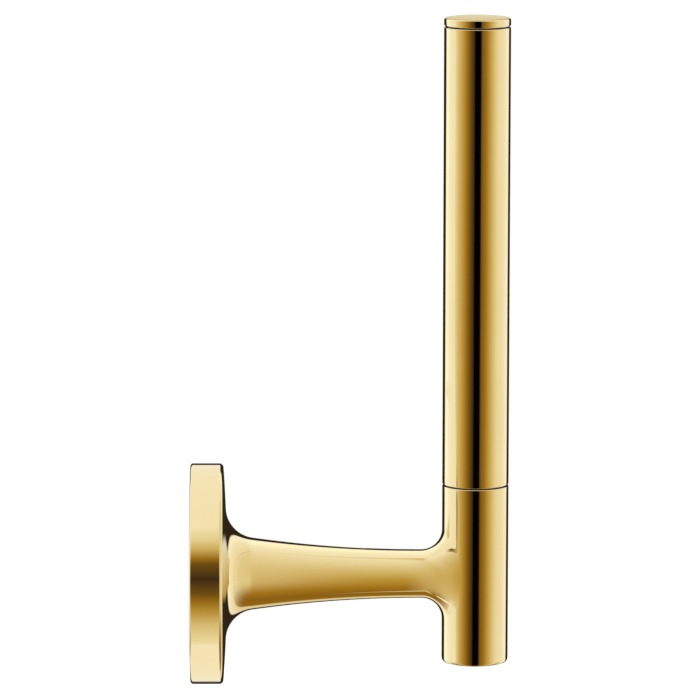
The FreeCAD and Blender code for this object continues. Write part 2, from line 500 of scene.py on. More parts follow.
def drilled_band(skin, radius, x_start, x_end, hole_r):
    """A band about the arm's axis, between two places, with the grub screw's hole through its underside.

    Returns the loop round the hole.
    """
    middle = AROUND // 2
    columns = range(middle - HOLE_STEPS // 2, middle + HOLE_STEPS // 2 + 1)
    rows = steps(x_start, x_end, RIM_ROWS)
    rest = list(range(columns[-1], AROUND)) + list(range(0, columns[0] + 1))
    for a, b in zip(rest, rest[1:]):
        skin.grid([[round_arm(x, radius, math.tau * t / AROUND) for x in rows] for t in (a, b)])
    edge = [(rows[0], math.tau * t / AROUND) for t in columns]
    edge += [(x, math.tau * columns[-1] / AROUND) for x in rows[1:]]
    edge += [(rows[-1], math.tau * t / AROUND) for t in list(columns)[-2::-1]]
    edge += [(x, math.tau * columns[0] / AROUND) for x in rows[-2:0:-1]]
    hole = []
    for x, turn in edge:
        side = radius * (math.pi - turn)
        angle = math.atan2(side, x - (x_start + x_end) / 2)
        y = hole_r * math.sin(angle)
        hole.append((GRUB_X + hole_r * math.cos(angle), math.pi - math.asin(y / radius)))
    loops = []
    for share in steps(0, 1, 5):
        row = [
            round_arm(h[0] + (e[0] - h[0]) * share, radius, h[1] + (e[1] - h[1]) * share)
            for h, e in zip(hole, edge)
        ]
        loops.append(skin.loop(row))
    skin.bands(loops)
    return loops[0]


def rim_and_cavity(skin):
    """The rosette's rim, its back edge, the cavity for the bracket, and the hole between them."""
    profile = outer_profile()
    rim_end = profile[0][0]
    outer = drilled_band(skin, ROSETTE_R, BACK_EDGE_R, rim_end, GRUB_HOLE_R + 0.2)
    middle = skin.loop([hole_point(skin.points[i], ROSETTE_R - 0.2) for i in outer])
    skin.band(outer, middle)
    back = arc_points((BACK_EDGE_R, ROSETTE_R - BACK_EDGE_R), BACK_EDGE_R, 90, 180, 8)
    lip = [(0.0, CAVITY_R + 0.3), (0.08, CAVITY_R + 0.1), (0.3, CAVITY_R)]
    skin.bands([arm_loop(skin, x, r) for x, r in back + lip])
    skin.look = 1
    inner = drilled_band(skin, CAVITY_R, 0.3, CAVITY_DEPTH - 0.5, GRUB_HOLE_R)
    skin.band(middle, inner)
    corner = arc_points((CAVITY_DEPTH - 0.5, CAVITY_R - 0.5), 0.5, 90, 0, 5)
    mouth = CORE_MOUTH_R + (CORE_END_R - CORE_MOUTH_R) * CAVITY_DEPTH / CORE_END
    floor = [(CAVITY_DEPTH, r) for r in steps(CAVITY_R - 0.5, mouth + 0.4, 6)][1:]
    core = arc_points((CAVITY_DEPTH + 0.4, mouth + 0.4), 0.4, 180, 270, 4)[1:]
    core += [(x, CORE_MOUTH_R + (CORE_END_R - CORE_MOUTH_R) * x / CORE_END) for x in (12, 20, 28, CORE_END)]
    loops = [arm_loop(skin, x, r) for x, r in corner + floor + core]
    skin.bands(loops)
    skin.fan(loops[-1], (CORE_END, 0, 0))
    skin.look = 0


def hole_point(point, radius):
    """The place in the grub screw's hole, at a radius about the arm, in line with a point of its mouth."""
    x, y = point[0] - GRUB_X, point[1]
    scale = GRUB_HOLE_R / math.hypot(x, y)
    return (GRUB_X + x * scale, y * scale, -math.sqrt(radius**2 - (y * scale) ** 2))


def blend_radius(turn):
    """The blend is tightest above and below the arm, and softens towards its sides."""
    return BLEND_R + BLEND_SOFTER * abs(math.sin(turn)) ** 3


def blend_centre(turn):
    """Centre of the ball that rolls between arm and socket."""
    far_arm = WAIST_R + blend_radius(turn)
    far_post = POST_R + blend_radius(turn)
    y = far_arm * math.sin(turn)
    return Vector((REACH - math.sqrt(far_post**2 - y**2), y, far_arm * math.cos(turn)))


def horn(skin):
    """The front of the rosette and the arm, up to where the blend into the socket starts."""
    profile = outer_profile()
    loops = [arm_loop(skin, x, r) for x, r in profile]
    waist = profile[-1][0]
    turns = [math.tau * i / AROUND for i in range(AROUND)]
    for share in steps(0, 1, 8)[1:]:
        row = [round_arm(waist + (blend_centre(t).x - waist) * share, WAIST_R, t) for t in turns]
        loops.append(skin.loop(row))
    skin.bands(loops)


def blend(skin):
    """The rolled blend between arm and socket. Returns where it ends, as turn and height on the socket."""
    loops = []
    turns = [math.tau * i / AROUND for i in range(AROUND)]
    for share in steps(0, 1, 24):
        row = []
        for turn in turns:
            centre = blend_centre(turn)
            to_arm = Vector((0, -math.sin(turn), -math.cos(turn)))
            to_post = Vector((REACH - centre.x, -centre.y, 0)).normalized()
            row.append(tuple(centre + to_arm.slerp(to_post, share) * blend_radius(turn)))
        loops.append(skin.loop(row))
    skin.bands(loops)
    ends = []
    for index in loops[-1]:
        x, y, z = skin.points[index]
        ends.append((math.atan2(y, REACH - x), z))
    return ends


PATCH_TURN = math.radians(78)
PATCH_RISE = 13.5
PATCH_WIDE = 56
PATCH_TALL = (AROUND - 2 * PATCH_WIDE) // 2
BACK_STEPS = 74


def on_socket(turn, z, radius=POST_R):
    """A point about the post's axis. A turn of zero faces the wall."""
    return (REACH - radius * math.cos(turn), radius * math.sin(turn), z)


def socket_turns():
    """The turns of the socket's columns: those of the patch, then those round the far side."""
    front = steps(-PATCH_TURN, PATCH_TURN, PATCH_WIDE)
    return front + steps(PATCH_TURN, math.tau - PATCH_TURN, BACK_STEPS)[1:-1]


def socket_loop(skin, radius, z):
    return skin.loop([on_socket(turn, z, radius) for turn in socket_turns()])


def socket_wall(skin, ends):
    """The socket's outside, in a patch round the blend and rows above, below and behind it."""
    wide = steps(-PATCH_TURN, PATCH_TURN, PATCH_WIDE)
    tall = steps(-PATCH_RISE, PATCH_RISE, PATCH_TALL)
    half = PATCH_WIDE // 2
    edge = [(turn, PATCH_RISE) for turn in wide[half:]]
    edge += [(PATCH_TURN, z) for z in tall[-2::-1]]
    edge += [(turn, -PATCH_RISE) for turn in wide[-2::-1]]
    edge += [(-PATCH_TURN, z) for z in tall[1:]]
    edge += [(turn, PATCH_RISE) for turn in wide[1:half]]
    loops = []
    for share in steps(0, 1, 14):
        row = [
            on_socket(a[0] + (b[0] - a[0]) * share, a[1] + (b[1] - a[1]) * share)
            for a, b in zip(ends, edge)
        ]
        loops.append(skin.loop(row))
    skin.bands(loops)
    behind = steps(PATCH_TURN, math.tau - PATCH_TURN, BACK_STEPS)
    skin.grid([[on_socket(turn, z) for turn in behind] for z in tall])


def socket_ends(skin):
    """The rounded foot of the socket, and its top with the stud's hole."""
    foot = arc_points((POST_R - SOCKET_EDGE_R, -SOCKET_BOTTOM + SOCKET_EDGE_R), SOCKET_EDGE_R, 0, -90, 10)
    lower = [(POST_R, z) for z in steps(-PATCH_RISE, foot[0][1], 4)[:-1]]
    under = [(r, -SOCKET_BOTTOM) for r in (5.5, 4.0, 2.5, 1.0)]
    loops = [socket_loop(skin, r, z) for r, z in lower + foot + under]
    skin.bands(loops)
    skin.fan(loops[-1], (REACH, 0, -SOCKET_BOTTOM))
    lip = arc_points((POST_R - SEAM_EDGE_R, SOCKET_TOP - SEAM_EDGE_R), SEAM_EDGE_R, 0, 90, 6)
    upper = [(POST_R, z) for z in steps(PATCH_RISE, lip[0][1], 4)[:-1]]
    land = [(r, SOCKET_TOP) for r in (6.4, 5.6, STUD_HOLE_R + 0.45)]
    hole = [(STUD_HOLE_R, SOCKET_TOP - 0.45), (STUD_HOLE_R, STUD_HOLE_BOTTOM)]
    loops = [socket_loop(skin, r, z) for r, z in upper + lip + land + hole]
    skin.bands(loops)
    skin.fan(loops[-1], (REACH, 0, STUD_HOLE_BOTTOM - 1.2))


def casting(gold, raw):
    """Rosette, arm and socket as one closed skin: polished outside and raw in the cavity and core."""
    skin = Skin()
    rim_and_cavity(skin)
    horn(skin)
    socket_wall(skin, blend(skin))
    socket_ends(skin)
    piece = skin.mesh("arm_and_rosette", [gold, raw])
    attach(piece, "holder")
    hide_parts("arm_casting")
    piece.visible_glossy = False


# ---------------------------------------------------------------- turned pieces


class Geometry(Nodes):
    """A Geometry Nodes tree with named inputs, added to a mesh and applied."""

    def __init__(self, name):
        super().__init__(bpy.data.node_groups.new(name, "GeometryNodeTree"))
        self.tree.interface.new_socket("Geometry", in_out="INPUT", socket_type="NodeSocketGeometry")
        self.tree.interface.new_socket("Geometry", in_out="OUTPUT", socket_type="NodeSocketGeometry")
        self.start = self.tree.nodes.new("NodeGroupInput")
        self.end = self.tree.nodes.new("NodeGroupOutput")
        self.named = {}

    def input(self, name, kind):
        socket = self.tree.interface.new_socket(name, in_out="INPUT", socket_type=kind)
        self.named[name] = socket.identifier
        return self.start.outputs[name]

    def close(self, geometry, material):
        """Ends the tree in realised instances with a material."""
        real = self.node("GeometryNodeRealizeInstances", None, {"Geometry": geometry})
        dressed = self.node(
            "GeometryNodeSetMaterial", None, {"Geometry": real.outputs[0], "Material": material}
        )
        self.tree.links.new(dressed.outputs[0], self.end.inputs[0])

    def apply(self, base, values):
        """The plain mesh that the tree makes of an object, which is removed."""
        modifier = base.modifiers.new("rule", "NODES")
        modifier.node_group = self.tree
        for name, value in values.items():
            modifier[self.named[name]] = value
        bpy.context.view_layer.update()
        ready = base.evaluated_get(bpy.context.evaluated_depsgraph_get())
        mesh = bpy.data.meshes.new_from_object(ready)
        base.modifiers.remove(modifier)
        bpy.data.objects.remove(base)
        return mesh


def profile_object(points, closed):
    """A chain of edges: x is the radius and minus y the height, in metres."""
    mesh = bpy.data.meshes.new("profile")
    edges = [(i, i + 1) for i in range(len(points) - 1)]
    if closed:
        edges.append((len(points) - 1, 0))
    mesh.from_pydata([(r * MM, -z * MM, 0) for r, z in points], edges, [])
    base = bpy.data.objects.new("profile", mesh)
    bpy.context.scene.collection.objects.link(base)
    return base


def turning_rule():
    """Turns a profile about an upright axis.

    A small circle carries the profile, which is set back by that circle's radius.
    """
    rule = Geometry("turned_piece")
    facets = rule.input("Facets around", "NodeSocketInt")
    material = rule.input("Material", "NodeSocketMaterial")
    profile = rule.node("GeometryNodeMeshToCurve", None, {"Mesh": rule.start.outputs["Geometry"]})
    set_back = rule.node(
        "GeometryNodeTransform", None, {"Geometry": profile.outputs[0], "Translation": (-PATH_R, 0, 0)}
    )
    circle = rule.node(
        "GeometryNodeCurvePrimitiveCircle", None, {"Resolution": facets, "Radius": PATH_R}
    )
    level = rule.node("GeometryNodeSetCurveNormal", {"mode": "Z_UP"}, {"Curve": circle.outputs[0]})
    swept = rule.node(
        "GeometryNodeCurveToMesh",
        None,
        {"Curve": level.outputs[0], "Profile Curve": set_back.outputs[0]},
    )
    rule.close(swept.outputs[0], material)
    return rule


def thread_rule():
    """Carries a thread's section up a helix, shrinking it to nothing at both ends.

    The helix carries the section facing the axis, so the ridge lies inside the core and doesn't show.
    """
    rule = Geometry("screw_thread")
    turns = rule.input("Turns", "NodeSocketFloat")
    pitch = rule.input("Pitch", "NodeSocketFloat")
    root = rule.input("Root radius", "NodeSocketFloat")
    runout = rule.input("Runout turns", "NodeSocketFloat")
    bottom = rule.input("Bottom", "NodeSocketFloat")
    material = rule.input("Material", "NodeSocketMaterial")
    section = rule.node("GeometryNodeMeshToCurve", None, {"Mesh": rule.start.outputs["Geometry"]})
    height = rule.value(turns) * rule.value(pitch)
    helix = rule.node(
        "GeometryNodeCurveSpiral",
        None,
        {
            "Resolution": THREAD_STEPS,
            "Rotations": turns,
            "Start Radius": root,
            "End Radius": root,
            "Height": height,
        },
    )
    level = rule.node("GeometryNodeSetCurveNormal", {"mode": "Z_UP"}, {"Curve": helix.outputs[0]})
    along = rule.value(rule.node("GeometryNodeSplineParameter").outputs["Factor"])
    share = rule.value(turns) / rule.value(runout)
    fade = (along * share).low((1 - along) * share).low(1.0)
    swept = rule.node(
        "GeometryNodeCurveToMesh",
        None,
        {
            "Curve": level.outputs[0],
            "Profile Curve": section.outputs[0],
            "Scale": fade,
            "Fill Caps": True,
        },
    )
    lift = rule.node("ShaderNodeCombineXYZ", None, {"Z": bottom})
    raised = rule.node(
        "GeometryNodeTransform",
        None,
        {"Geometry": swept.outputs[0], "Translation": lift.outputs[0]},
    )
    rule.close(raised.outputs[0], material)
    return rule


def turned_mesh(rule, points, material, closed=True, facets=TURN_STEPS):
    """The mesh of a profile of (radius, height) turned about the upright axis through the origin."""
    base = profile_object(points, closed)
    return rule.apply(base, {"Facets around": facets, "Material": material})


def on_post_axis(mesh):
    mesh.transform(Matrix.Translation((REACH * MM, 0, 0)))
    return mesh


def along_arm(mesh):
    """Lays an upright turned mesh down, so that its height runs out from the wall."""
    mesh.transform(Matrix.Rotation(math.pi / 2, 4, "Y"))
    return mesh


def joined(meshes):
    """One mesh of several, each keeping its shape. They share a material."""
    work = bmesh.new()
    for mesh in meshes:
        work.from_mesh(mesh)
    whole = bpy.data.meshes.new("joined")
    work.to_mesh(whole)
    work.free()
    return whole


def set_in_place(name, mesh, body, node, material, sharp=32.0):
    """A finished piece that rides on a body and stands for a node."""
    mesh.materials.clear()
    piece = finished(name, mesh, [material], sharp)
    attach(piece, body)
    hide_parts(node)
    piece.visible_glossy = False
    return piece


def rounded(corner_r, corner_z, radius, quarter, count=6):
    """The quarter circle that rounds a corner of a profile. Quarter 0 runs from out to up, and so on."""
    centre = {
        0: (corner_r - radius, corner_z - radius),
        1: (corner_r + radius, corner_z - radius),
        2: (corner_r + radius, corner_z + radius),
        3: (corner_r - radius, corner_z + radius),
    }[quarter]
    return arc_points(centre, radius, 90 * quarter, 90 * quarter + 90, count)


def post_tube(rule, gold):
    """The long polished tube, with both rims softly broken."""
    low, high, bore = TUBE_LOW.z, TUBE_HIGH.z, POST_R - TUBE_WALL
    profile = [(bore + 0.1, high), (bore, high - 0.1)]
    profile += [(bore, z) for z in steps(high - 1.0, low + 1.0, 12)]
    profile += [(bore, low + 0.1), (bore + 0.1, low)]
    profile += rounded(POST_R, low, SEAM_EDGE_R, 3)
    profile += [(POST_R, z) for z in steps(low + 1.0, high - 1.0, 24)]
    profile += rounded(POST_R, high, SEAM_EDGE_R, 0)
    mesh = on_post_axis(turned_mesh(rule, profile, gold))
    set_in_place("tall_tube", mesh, "post", "post_tube", gold)


def post_cap(rule, gold):
    """The cap: a flat top with a soft rim over a shadow line, and a grooved spigot. The shadow line is a real
    step under the rim, darkened further by a painted shadow in the gold.
    """
    top, head = CAP_HIGH.z, TUBE_HIGH.z
    ring_z = (RING_LOW.z + RING_HIGH.z) / 2
    half = (RING_HIGH.z - RING_LOW.z) / 2 + 0.02
    floor = SPIGOT_R - GROOVE_DEEP
    profile = [(0.0, top)]
    profile += [(r, top) for r in (1.5, 3.0, 4.5, 6.0)]
    profile += rounded(POST_R, top, CAP_EDGE_R, 0, 12)[::-1]
    profile += rounded(POST_R, head + SEAM, SEAM_EDGE_R, 3)[::-1]
    profile += [(CAP_STEP_R, head + SEAM), (CAP_STEP_R, head), (SPIGOT_R, head)]
    profile += [(SPIGOT_R, ring_z + half), (floor, ring_z + half), (floor, ring_z - half)]
    profile += [(SPIGOT_R, ring_z - half), (SPIGOT_R, CAP_LOW.z + 0.4), (SPIGOT_R - 0.4, CAP_LOW.z)]
    profile += [(3.0, CAP_LOW.z), (0.0, CAP_LOW.z)]
    mesh = on_post_axis(turned_mesh(rule, profile, gold, closed=False))
    set_in_place("post_lid", mesh, "post", "post_cap", gold)


def cap_ring(rule, rubber):
    section = (RING_HIGH.z - RING_LOW.z) / 2
    middle = (RING_HIGH.x - REACH - section, (RING_LOW.z + RING_HIGH.z) / 2)
    profile = arc_points(middle, section, 0, 360, 24)[:-1]
    mesh = on_post_axis(turned_mesh(rule, profile, rubber, facets=128))
    set_in_place("lid_grip_ring", mesh, "post", "cap_o_ring", rubber)


def seam_washer(rule, nylon):
    """The thin washer of the lower shadow line, rounded like a stamped part."""
    outer, inner = WASHER_HIGH.x - REACH, STUD_HIGH.x - REACH + 0.25
    low, high = WASHER_LOW.z + SLIP, WASHER_HIGH.z - SLIP
    soft = (high - low) * 0.4
    profile = rounded(outer, high, soft, 0, 4) + rounded(inner, high, soft, 1, 4)
    profile += rounded(inner, low, soft, 2, 4) + rounded(outer, low, soft, 3, 4)
    mesh = on_post_axis(turned_mesh(rule, profile, nylon))
    set_in_place("seam_washer", mesh, "foot_washer", "foot_washer", nylon)


def tube_plug(rule, brass):
    """The turned plug in the tube's foot, with a countersunk blind hole and two solder grooves."""
    outer, low, high = BUSH_HIGH.x - REACH, BUSH_LOW.z, BUSH_HIGH.z
    hole_top = STUD_HIGH.z + 1.0
    profile = [(0.0, hole_top + 1.2), (STUD_HOLE_R, hole_top), (STUD_HOLE_R, low + 0.45)]
    profile += [(STUD_HOLE_R + 0.45, low), (outer - 0.3, low), (outer, low + 0.3)]
    for z in (low + 4.0, low + 8.5):
        profile += [(outer, z - 0.5), (outer - 0.35, z - 0.3), (outer - 0.35, z + 0.3), (outer, z + 0.5)]
    profile += [(outer, high - 0.5), (outer - 0.5, high), (0.0, high)]
    mesh = on_post_axis(turned_mesh(rule, profile, brass, closed=False, facets=160))
    set_in_place("tube_plug", mesh, "post", "foot_bush", brass)


def thread_section(depth, pitch):
    """A sixty-degree thread's section, from its root outwards."""
    foot, crest = pitch * 0.46, pitch * 0.07
    return [(-0.06, -foot), (0.0, -foot), (depth, -crest), (depth, crest), (0.0, foot), (-0.06, foot)]


def thread_mesh(rule, depth, pitch, outer, bottom, length, material):
    base = profile_object(thread_section(depth, pitch), closed=True)
    values = {
        "Turns": (length - pitch) / pitch,
        "Pitch": pitch * MM,
        "Root radius": (outer - depth) * MM,
        "Runout turns": 0.6,
        "Bottom": (bottom + pitch / 2) * MM,
        "Material": material,
    }
    return rule.apply(base, values)


STUD_PITCH = 1.25
STUD_DEPTH = 0.66
GRUB_PITCH = 0.7
GRUB_DEPTH = 0.38
GRUB_HEX = 2.0


def stud(turning, threading, steel):
    """The long stud: a core with pointed-off ends, and its thread's section."""
    outer, low, high = STUD_HIGH.x - REACH, STUD_LOW.z, STUD_HIGH.z
    core = outer - STUD_DEPTH
    profile = [(0.0, low), (core - 0.6, low), (core, low + 0.5), (core, high - 0.5)]
    profile += [(core - 0.6, high), (0.0, high)]
    meshes = [
        turned_mesh(turning, profile, steel, closed=False, facets=96),
        thread_mesh(threading, STUD_DEPTH, STUD_PITCH, outer, low, high - low, steel),
    ]
    mesh = on_post_axis(joined(meshes))
    set_in_place("threaded_stud", mesh, "holder", "post_stud", steel)


def grub_screw(threading, steel):
    """The set screw under the rim: cone point inside, hexagon socket towards the floor."""
    outer = (GRUB_HIGH.x - GRUB_LOW.x) / 2
    core = outer - GRUB_DEPTH
    foot, tip = GRUB_LOW.z, GRUB_HIGH.z
    flat = GRUB_HEX / 2
    turns = [math.tau * i / 48 for i in range(48)]

    def ring(radius, z):
        return [(GRUB_X + radius * math.cos(t), radius * math.sin(t), z) for t in turns]

    def hexagon(size, z):
        row = []
        for t in turns:
            side = math.radians(30) + math.radians(60) * round((t - math.radians(30)) / math.radians(60))
            radius = size / math.cos(t - side)
            row.append((GRUB_X + radius * math.cos(t), radius * math.sin(t), z))
        return row

    skin = Skin()
    inside = skin.loop(hexagon(flat * 0.8, foot + 1.5))
    rows = [inside, skin.loop(hexagon(flat, foot + 1.3)), skin.loop(hexagon(flat, foot + 0.15))]
    rows += [skin.loop(hexagon(flat * 1.12, foot)), skin.loop(ring(core - 0.15, foot))]
    rows += [skin.loop(ring(core, foot + 0.2)), skin.loop(ring(core, tip - core))]
    rows.append(skin.loop(ring(0.12, tip - 0.1)))
    skin.bands(rows)
    skin.fan(inside, (GRUB_X, 0, foot + 1.75))
    skin.fan(rows[-1], (GRUB_X, 0, tip))
    body = bpy.data.meshes.new("screw_body")
    body.from_pydata([Vector(p) * MM for p in skin.points], [], skin.faces)
    length = tip - core - foot
    thread = thread_mesh(threading, GRUB_DEPTH, GRUB_PITCH, outer, foot + 0.1, length, steel)
    thread.transform(Matrix.Translation((GRUB_X * MM, 0, 0)))
    mesh = joined([body, thread])
    set_in_place("lock_screw", mesh, "grub_screw", "grub_screw", steel)


BRACKET_PLATE_T = 2.8
BRACKET_RING_WALL = 3.4
PILOT_R = 4.0
GROOVE_DEPTH = 1.3
WALL_SCREW_SPACING = 26.0
WALL_SCREW_R = 2.4
WALL_SCREW_SINK_R = 4.3
WALL_SCREW_SINK_DEPTH = 1.6


def bracket(rule, steel):
    """The round wall bracket: a plate with a thick grooved ring, a middle hole and two countersunk holes.

    The cut leaves a skin over the front of the hole at +Y, so that one doesn't go through.
    """
    outer, ring_t = BRACKET_HIGH.y, BRACKET_HIGH.x
    bore = outer - BRACKET_RING_WALL
    profile = [(PILOT_R, 0.15), (PILOT_R + 0.15, 0.0), (outer - 0.2, 0.0), (outer, 0.2)]
    profile += [(outer, GRUB_X - GROOVE_DEPTH), (outer - GROOVE_DEPTH, GRUB_X)]
    profile += [(outer, GRUB_X + GROOVE_DEPTH)]
    profile += [(outer, ring_t - 0.2), (outer - 0.2, ring_t), (bore + 0.2, ring_t), (bore, ring_t - 0.2)]
    profile += arc_points((bore - 0.5, BRACKET_PLATE_T + 0.5), 0.5, 0, -90, 5)
    profile += [(PILOT_R + 0.15, BRACKET_PLATE_T), (PILOT_R, BRACKET_PLATE_T - 0.15)]
    plate = finished("plate_blank", along_arm(turned_mesh(rule, profile, steel)), [])
    for side in (-1, 1):
        cutter_profile = [
            (0.0, -1.0),
            (WALL_SCREW_R + 1.15, -1.0),
            (WALL_SCREW_R, 0.15),
            (WALL_SCREW_R, BRACKET_PLATE_T - WALL_SCREW_SINK_DEPTH),
            (WALL_SCREW_SINK_R, BRACKET_PLATE_T),
            (WALL_SCREW_SINK_R, BRACKET_PLATE_T + 1.0),
            (0.0, BRACKET_PLATE_T + 1.0),
        ]
        cutter_mesh = along_arm(turned_mesh(rule, cutter_profile, steel, closed=False, facets=64))
        cutter_mesh.transform(Matrix.Translation((0, side * WALL_SCREW_SPACING / 2 * MM, 0)))
        cutter = finished("drill", cutter_mesh, [])
        cut = plate.modifiers.new("drilled", "BOOLEAN")
        cut.operation = "DIFFERENCE"
        cut.solver = "EXACT"
        cut.object = cutter
        bpy.context.view_layer.update()
        ready = plate.evaluated_get(bpy.context.evaluated_depsgraph_get())
        drilled = bpy.data.meshes.new_from_object(ready)
        plate.modifiers.remove(cut)
        plate.data = drilled
        bpy.data.objects.remove(cutter)
    mesh = plate.data
    bpy.data.objects.remove(plate)
    set_in_place("wall_plate", mesh, "holder", "wall_bracket", steel)


# ---------------------------------------------------------------- studio

# What polished gold mirrors at each brightness: white light turns warm as it falls off.
WARMTH = [
    (0.0, (0.0, 0.0, 0.0)),
    (0.043, (0.043, 0.029, 0.017)),
    (0.148, (0.148, 0.081, 0.014)),
    (0.307, (0.307, 0.166, 0.018)),
    (0.396, (0.396, 0.230, 0.023)),
    (0.536, (0.536, 0.380, 0.100)),
    (0.66, (0.66, 0.54, 0.26)),
    (0.83, (0.83, 0.80, 0.67)),
    (1.0, (1.0, 1.05, 1.2)),
    (1.2, (1.2, 1.25, 1.35)),
]
PEAK = 1.4  # the studio's ramps hold colours up to 1, and this lifts them
SOFT_LIGHT = 0.55  # the studio's brightness for soft light
WHITE = (1, 1, 1, 1)


def warm(level):
    """The studio's colour at a brightness, scaled down by the peak."""
    for (low, a), (high, b) in zip(WARMTH, WARMTH[1:]):
        if level <= high:
            share = (level - low) / (high - low)
            return tuple((p + (q - p) * share) / PEAK for p, q in zip(a, b))
    return tuple(c / PEAK for c in WARMTH[-1][1])


def ramp_over(tree, value, levels):
    """The studio's colour at a value, from (place, level) pairs whose first and last place end the ramp."""
    first, last = levels[0][0], levels[-1][0]
    stops = [((place - first) / (last - first), warm(level)) for place, level in levels]
    share = (value - first) / (last - first)
    return tree.node("ShaderNodeValToRGB", {"stops": stops}, {"Fac": share}).outputs["Color"]


DEGREE = math.radians(1)
AHEAD = math.radians(8.7)  # how far below level the camera's line of sight runs
DARK_ACROSS = math.radians(44)  # the dark gap ahead reaches this far to each side
DARK_OVER = math.radians(41)  # and this far up
DARK_UNDER = 1.2  # it is shorter below by this factor
GAP_COLOUR = (0.020, 0.014, 0.008)

# brightness by angle round the arm: 0 faces the camera, 90 is overhead and -90 below
OVER_AND_UNDER = [
    (-180, 0.78),
    (-121, 0.80),
    (-115, 0.31),
    (-86, 0.27),
    (-56, 0.385),
    (-14, 0.536),
    (11, 0.66),
    (24, 0.71),
    (64, 0.88),
    (100, 0.97),
    (114, 1.0),
    (127, 1.12),
    (180, 1.12),
]
# brightness by angle from straight ahead, to the left and to the right of the camera
TO_THE_LEFT = [(0, 1.15), (56, 1.15), (66, 1.0), (90, 0.94), (120, 0.91), (150, 0.93), (180, 0.93)]
TO_THE_RIGHT = [(0, 1.0), (56, 1.0), (66, 0.95), (90, 0.88), (112, 0.80), (143, 0.78), (180, 0.76)]


def studio_world():
    """White behind the object, soft light on it, and for metal a studio of panels with a dark gap ahead."""
    world = bpy.data.worlds.new("studio")
    bpy.context.scene.world = world
    world.use_nodes = True
    tree = Tree(world.node_tree)
    where = tree.node("ShaderNodeTexCoord").outputs["Generated"]
    parts = tree.node("ShaderNodeSeparateXYZ", None, {0: where})
    x, y, z = (tree.value(parts.outputs[i]) for i in range(3))
    around = z.angle_to(y * -1.0) / DEGREE
    ahead = y * math.cos(AHEAD) - z * math.sin(AHEAD)
    above = y * math.sin(AHEAD) + z * math.cos(AHEAD)
    off_axis = ahead.arc_cosine() / DEGREE
    front = ramp_over(tree, around, OVER_AND_UNDER)
    left = ramp_over(tree, off_axis, TO_THE_LEFT)
    right = ramp_over(tree, off_axis, TO_THE_RIGHT)
    sides = tree.mix(tree.smooth(x, -0.15, 0.15), left, right)
    beside = tree.smooth(x.abs(), 0.05, 0.45) * tree.smooth(z, -0.9, -0.2)
    panels = tree.mix(beside, front, sides)
    over = above.high(above * -DARK_UNDER) / math.sin(DARK_OVER)
    ring = ((x / math.sin(DARK_ACROSS)).power(2.0) + over.power(2.0)).power(0.5)
    dark = (1 - tree.smooth(ring, 0.94, 1.04)) * tree.smooth(ahead, 0.0, 0.1)
    seen = tree.mix(dark, panels, GAP_COLOUR)
    path = tree.node("ShaderNodeLightPath")
    soft, white, metal = (
        tree.node("ShaderNodeBackground", None, {"Color": colour, "Strength": strength}).outputs[0]
        for colour, strength in ((WHITE, SOFT_LIGHT), (WHITE, 1.0), (seen, PEAK))
    )
    mirrored = tree.blend(path.outputs["Is Glossy Ray"], soft, metal)
    shown = tree.blend(path.outputs["Is Camera Ray"], mirrored, white)
    through = tree.blend(path.outputs["Is Transmission Ray"], shown, white)
    tree.output(through, "ShaderNodeOutputWorld")


def staged_card(name, corners, material):
    mesh = bpy.data.meshes.new(name)
    mesh.from_pydata([Vector(c) * MM for c in corners], [], [(0, 1, 2, 3)])
    mesh.materials.append(material)
    card = bpy.data.objects.new(name, mesh)
    bpy.context.scene.collection.objects.link(card)
    return card


def panel(name, corners, axis, levels, fades=(), arm_gap=0):
    """A small gradient card that only metal sees: its brightness runs along one axis.

    Levels are (place, brightness) in millimetres. Fades are (axis, start, end), where the card goes clear.
    An arm gap pulls the card's left end in by so many millimetres at the arm's height.
    """
    material, tree = new_material(name)
    parts = tree.node("ShaderNodeSeparateXYZ", None, {0: tree.place()})
    places = [tree.value(parts.outputs[i]) for i in range(3)]
    colour = ramp_over(tree, places[axis], levels)
    glow = tree.node("ShaderNodeEmission", None, {"Color": colour, "Strength": PEAK})
    clear = tree.node("ShaderNodeBsdfTransparent")
    there = 1.0
    for along, start, end in fades:
        side = 1 if end > start else -1
        out = places[along] * side
        if arm_gap and side < 0:
            out = out + (1 - tree.smooth(places[2].abs(), 15, 70)) * arm_gap
        there = (1 - tree.smooth(out, start * side, end * side)) * there
    tree.output(tree.blend(there, clear.outputs[0], glow.outputs[0]))
    card = staged_card(name, corners, material)
    card.visible_camera = False
    card.visible_diffuse = False
    card.visible_transmission = False
    card.visible_shadow = False


def upright_facing_out(left, right, y, bottom, top):
    return [(left, y, bottom), (right, y, bottom), (right, y, top), (left, y, top)]


def flat_card(left, right, front, back, z):
    return [(left, front, z), (right, front, z), (right, back, z), (left, back, z)]


POST_PANEL_Y = -8.6
RIM_PANEL_Y = -30.0


def post_panel():
    """Close in front of the post: a black gap with warm light on both sides, leaving the arm's root clear."""
    left_side = [(-35, 0.90), (-15.1, 0.79), (-7.2, 0.62), (-4.9, 0.48), (-3.4, 0.325), (-2.3, 0.165)]
    left_side += [(-1.6, 0.09), (-1.0, 0.03), (-0.85, 0.0)]
    right_side = [(0.75, 0.0), (0.9, 0.12), (1.3, 0.22), (1.9, 0.29), (2.6, 0.36), (3.4, 0.47)]
    right_side += [(4.9, 0.61), (7.2, 0.735), (12.0, 0.84), (46, 0.95)]
    levels = [(REACH + place, level) for place, level in left_side + right_side]
    corners = upright_facing_out(REACH - 35, REACH + 46, POST_PANEL_Y, -60, 170)
    fades = [(0, REACH - 25, REACH - 35), (0, REACH + 36, REACH + 46)]
    panel("post_panel", corners, 0, levels, fades, arm_gap=19)


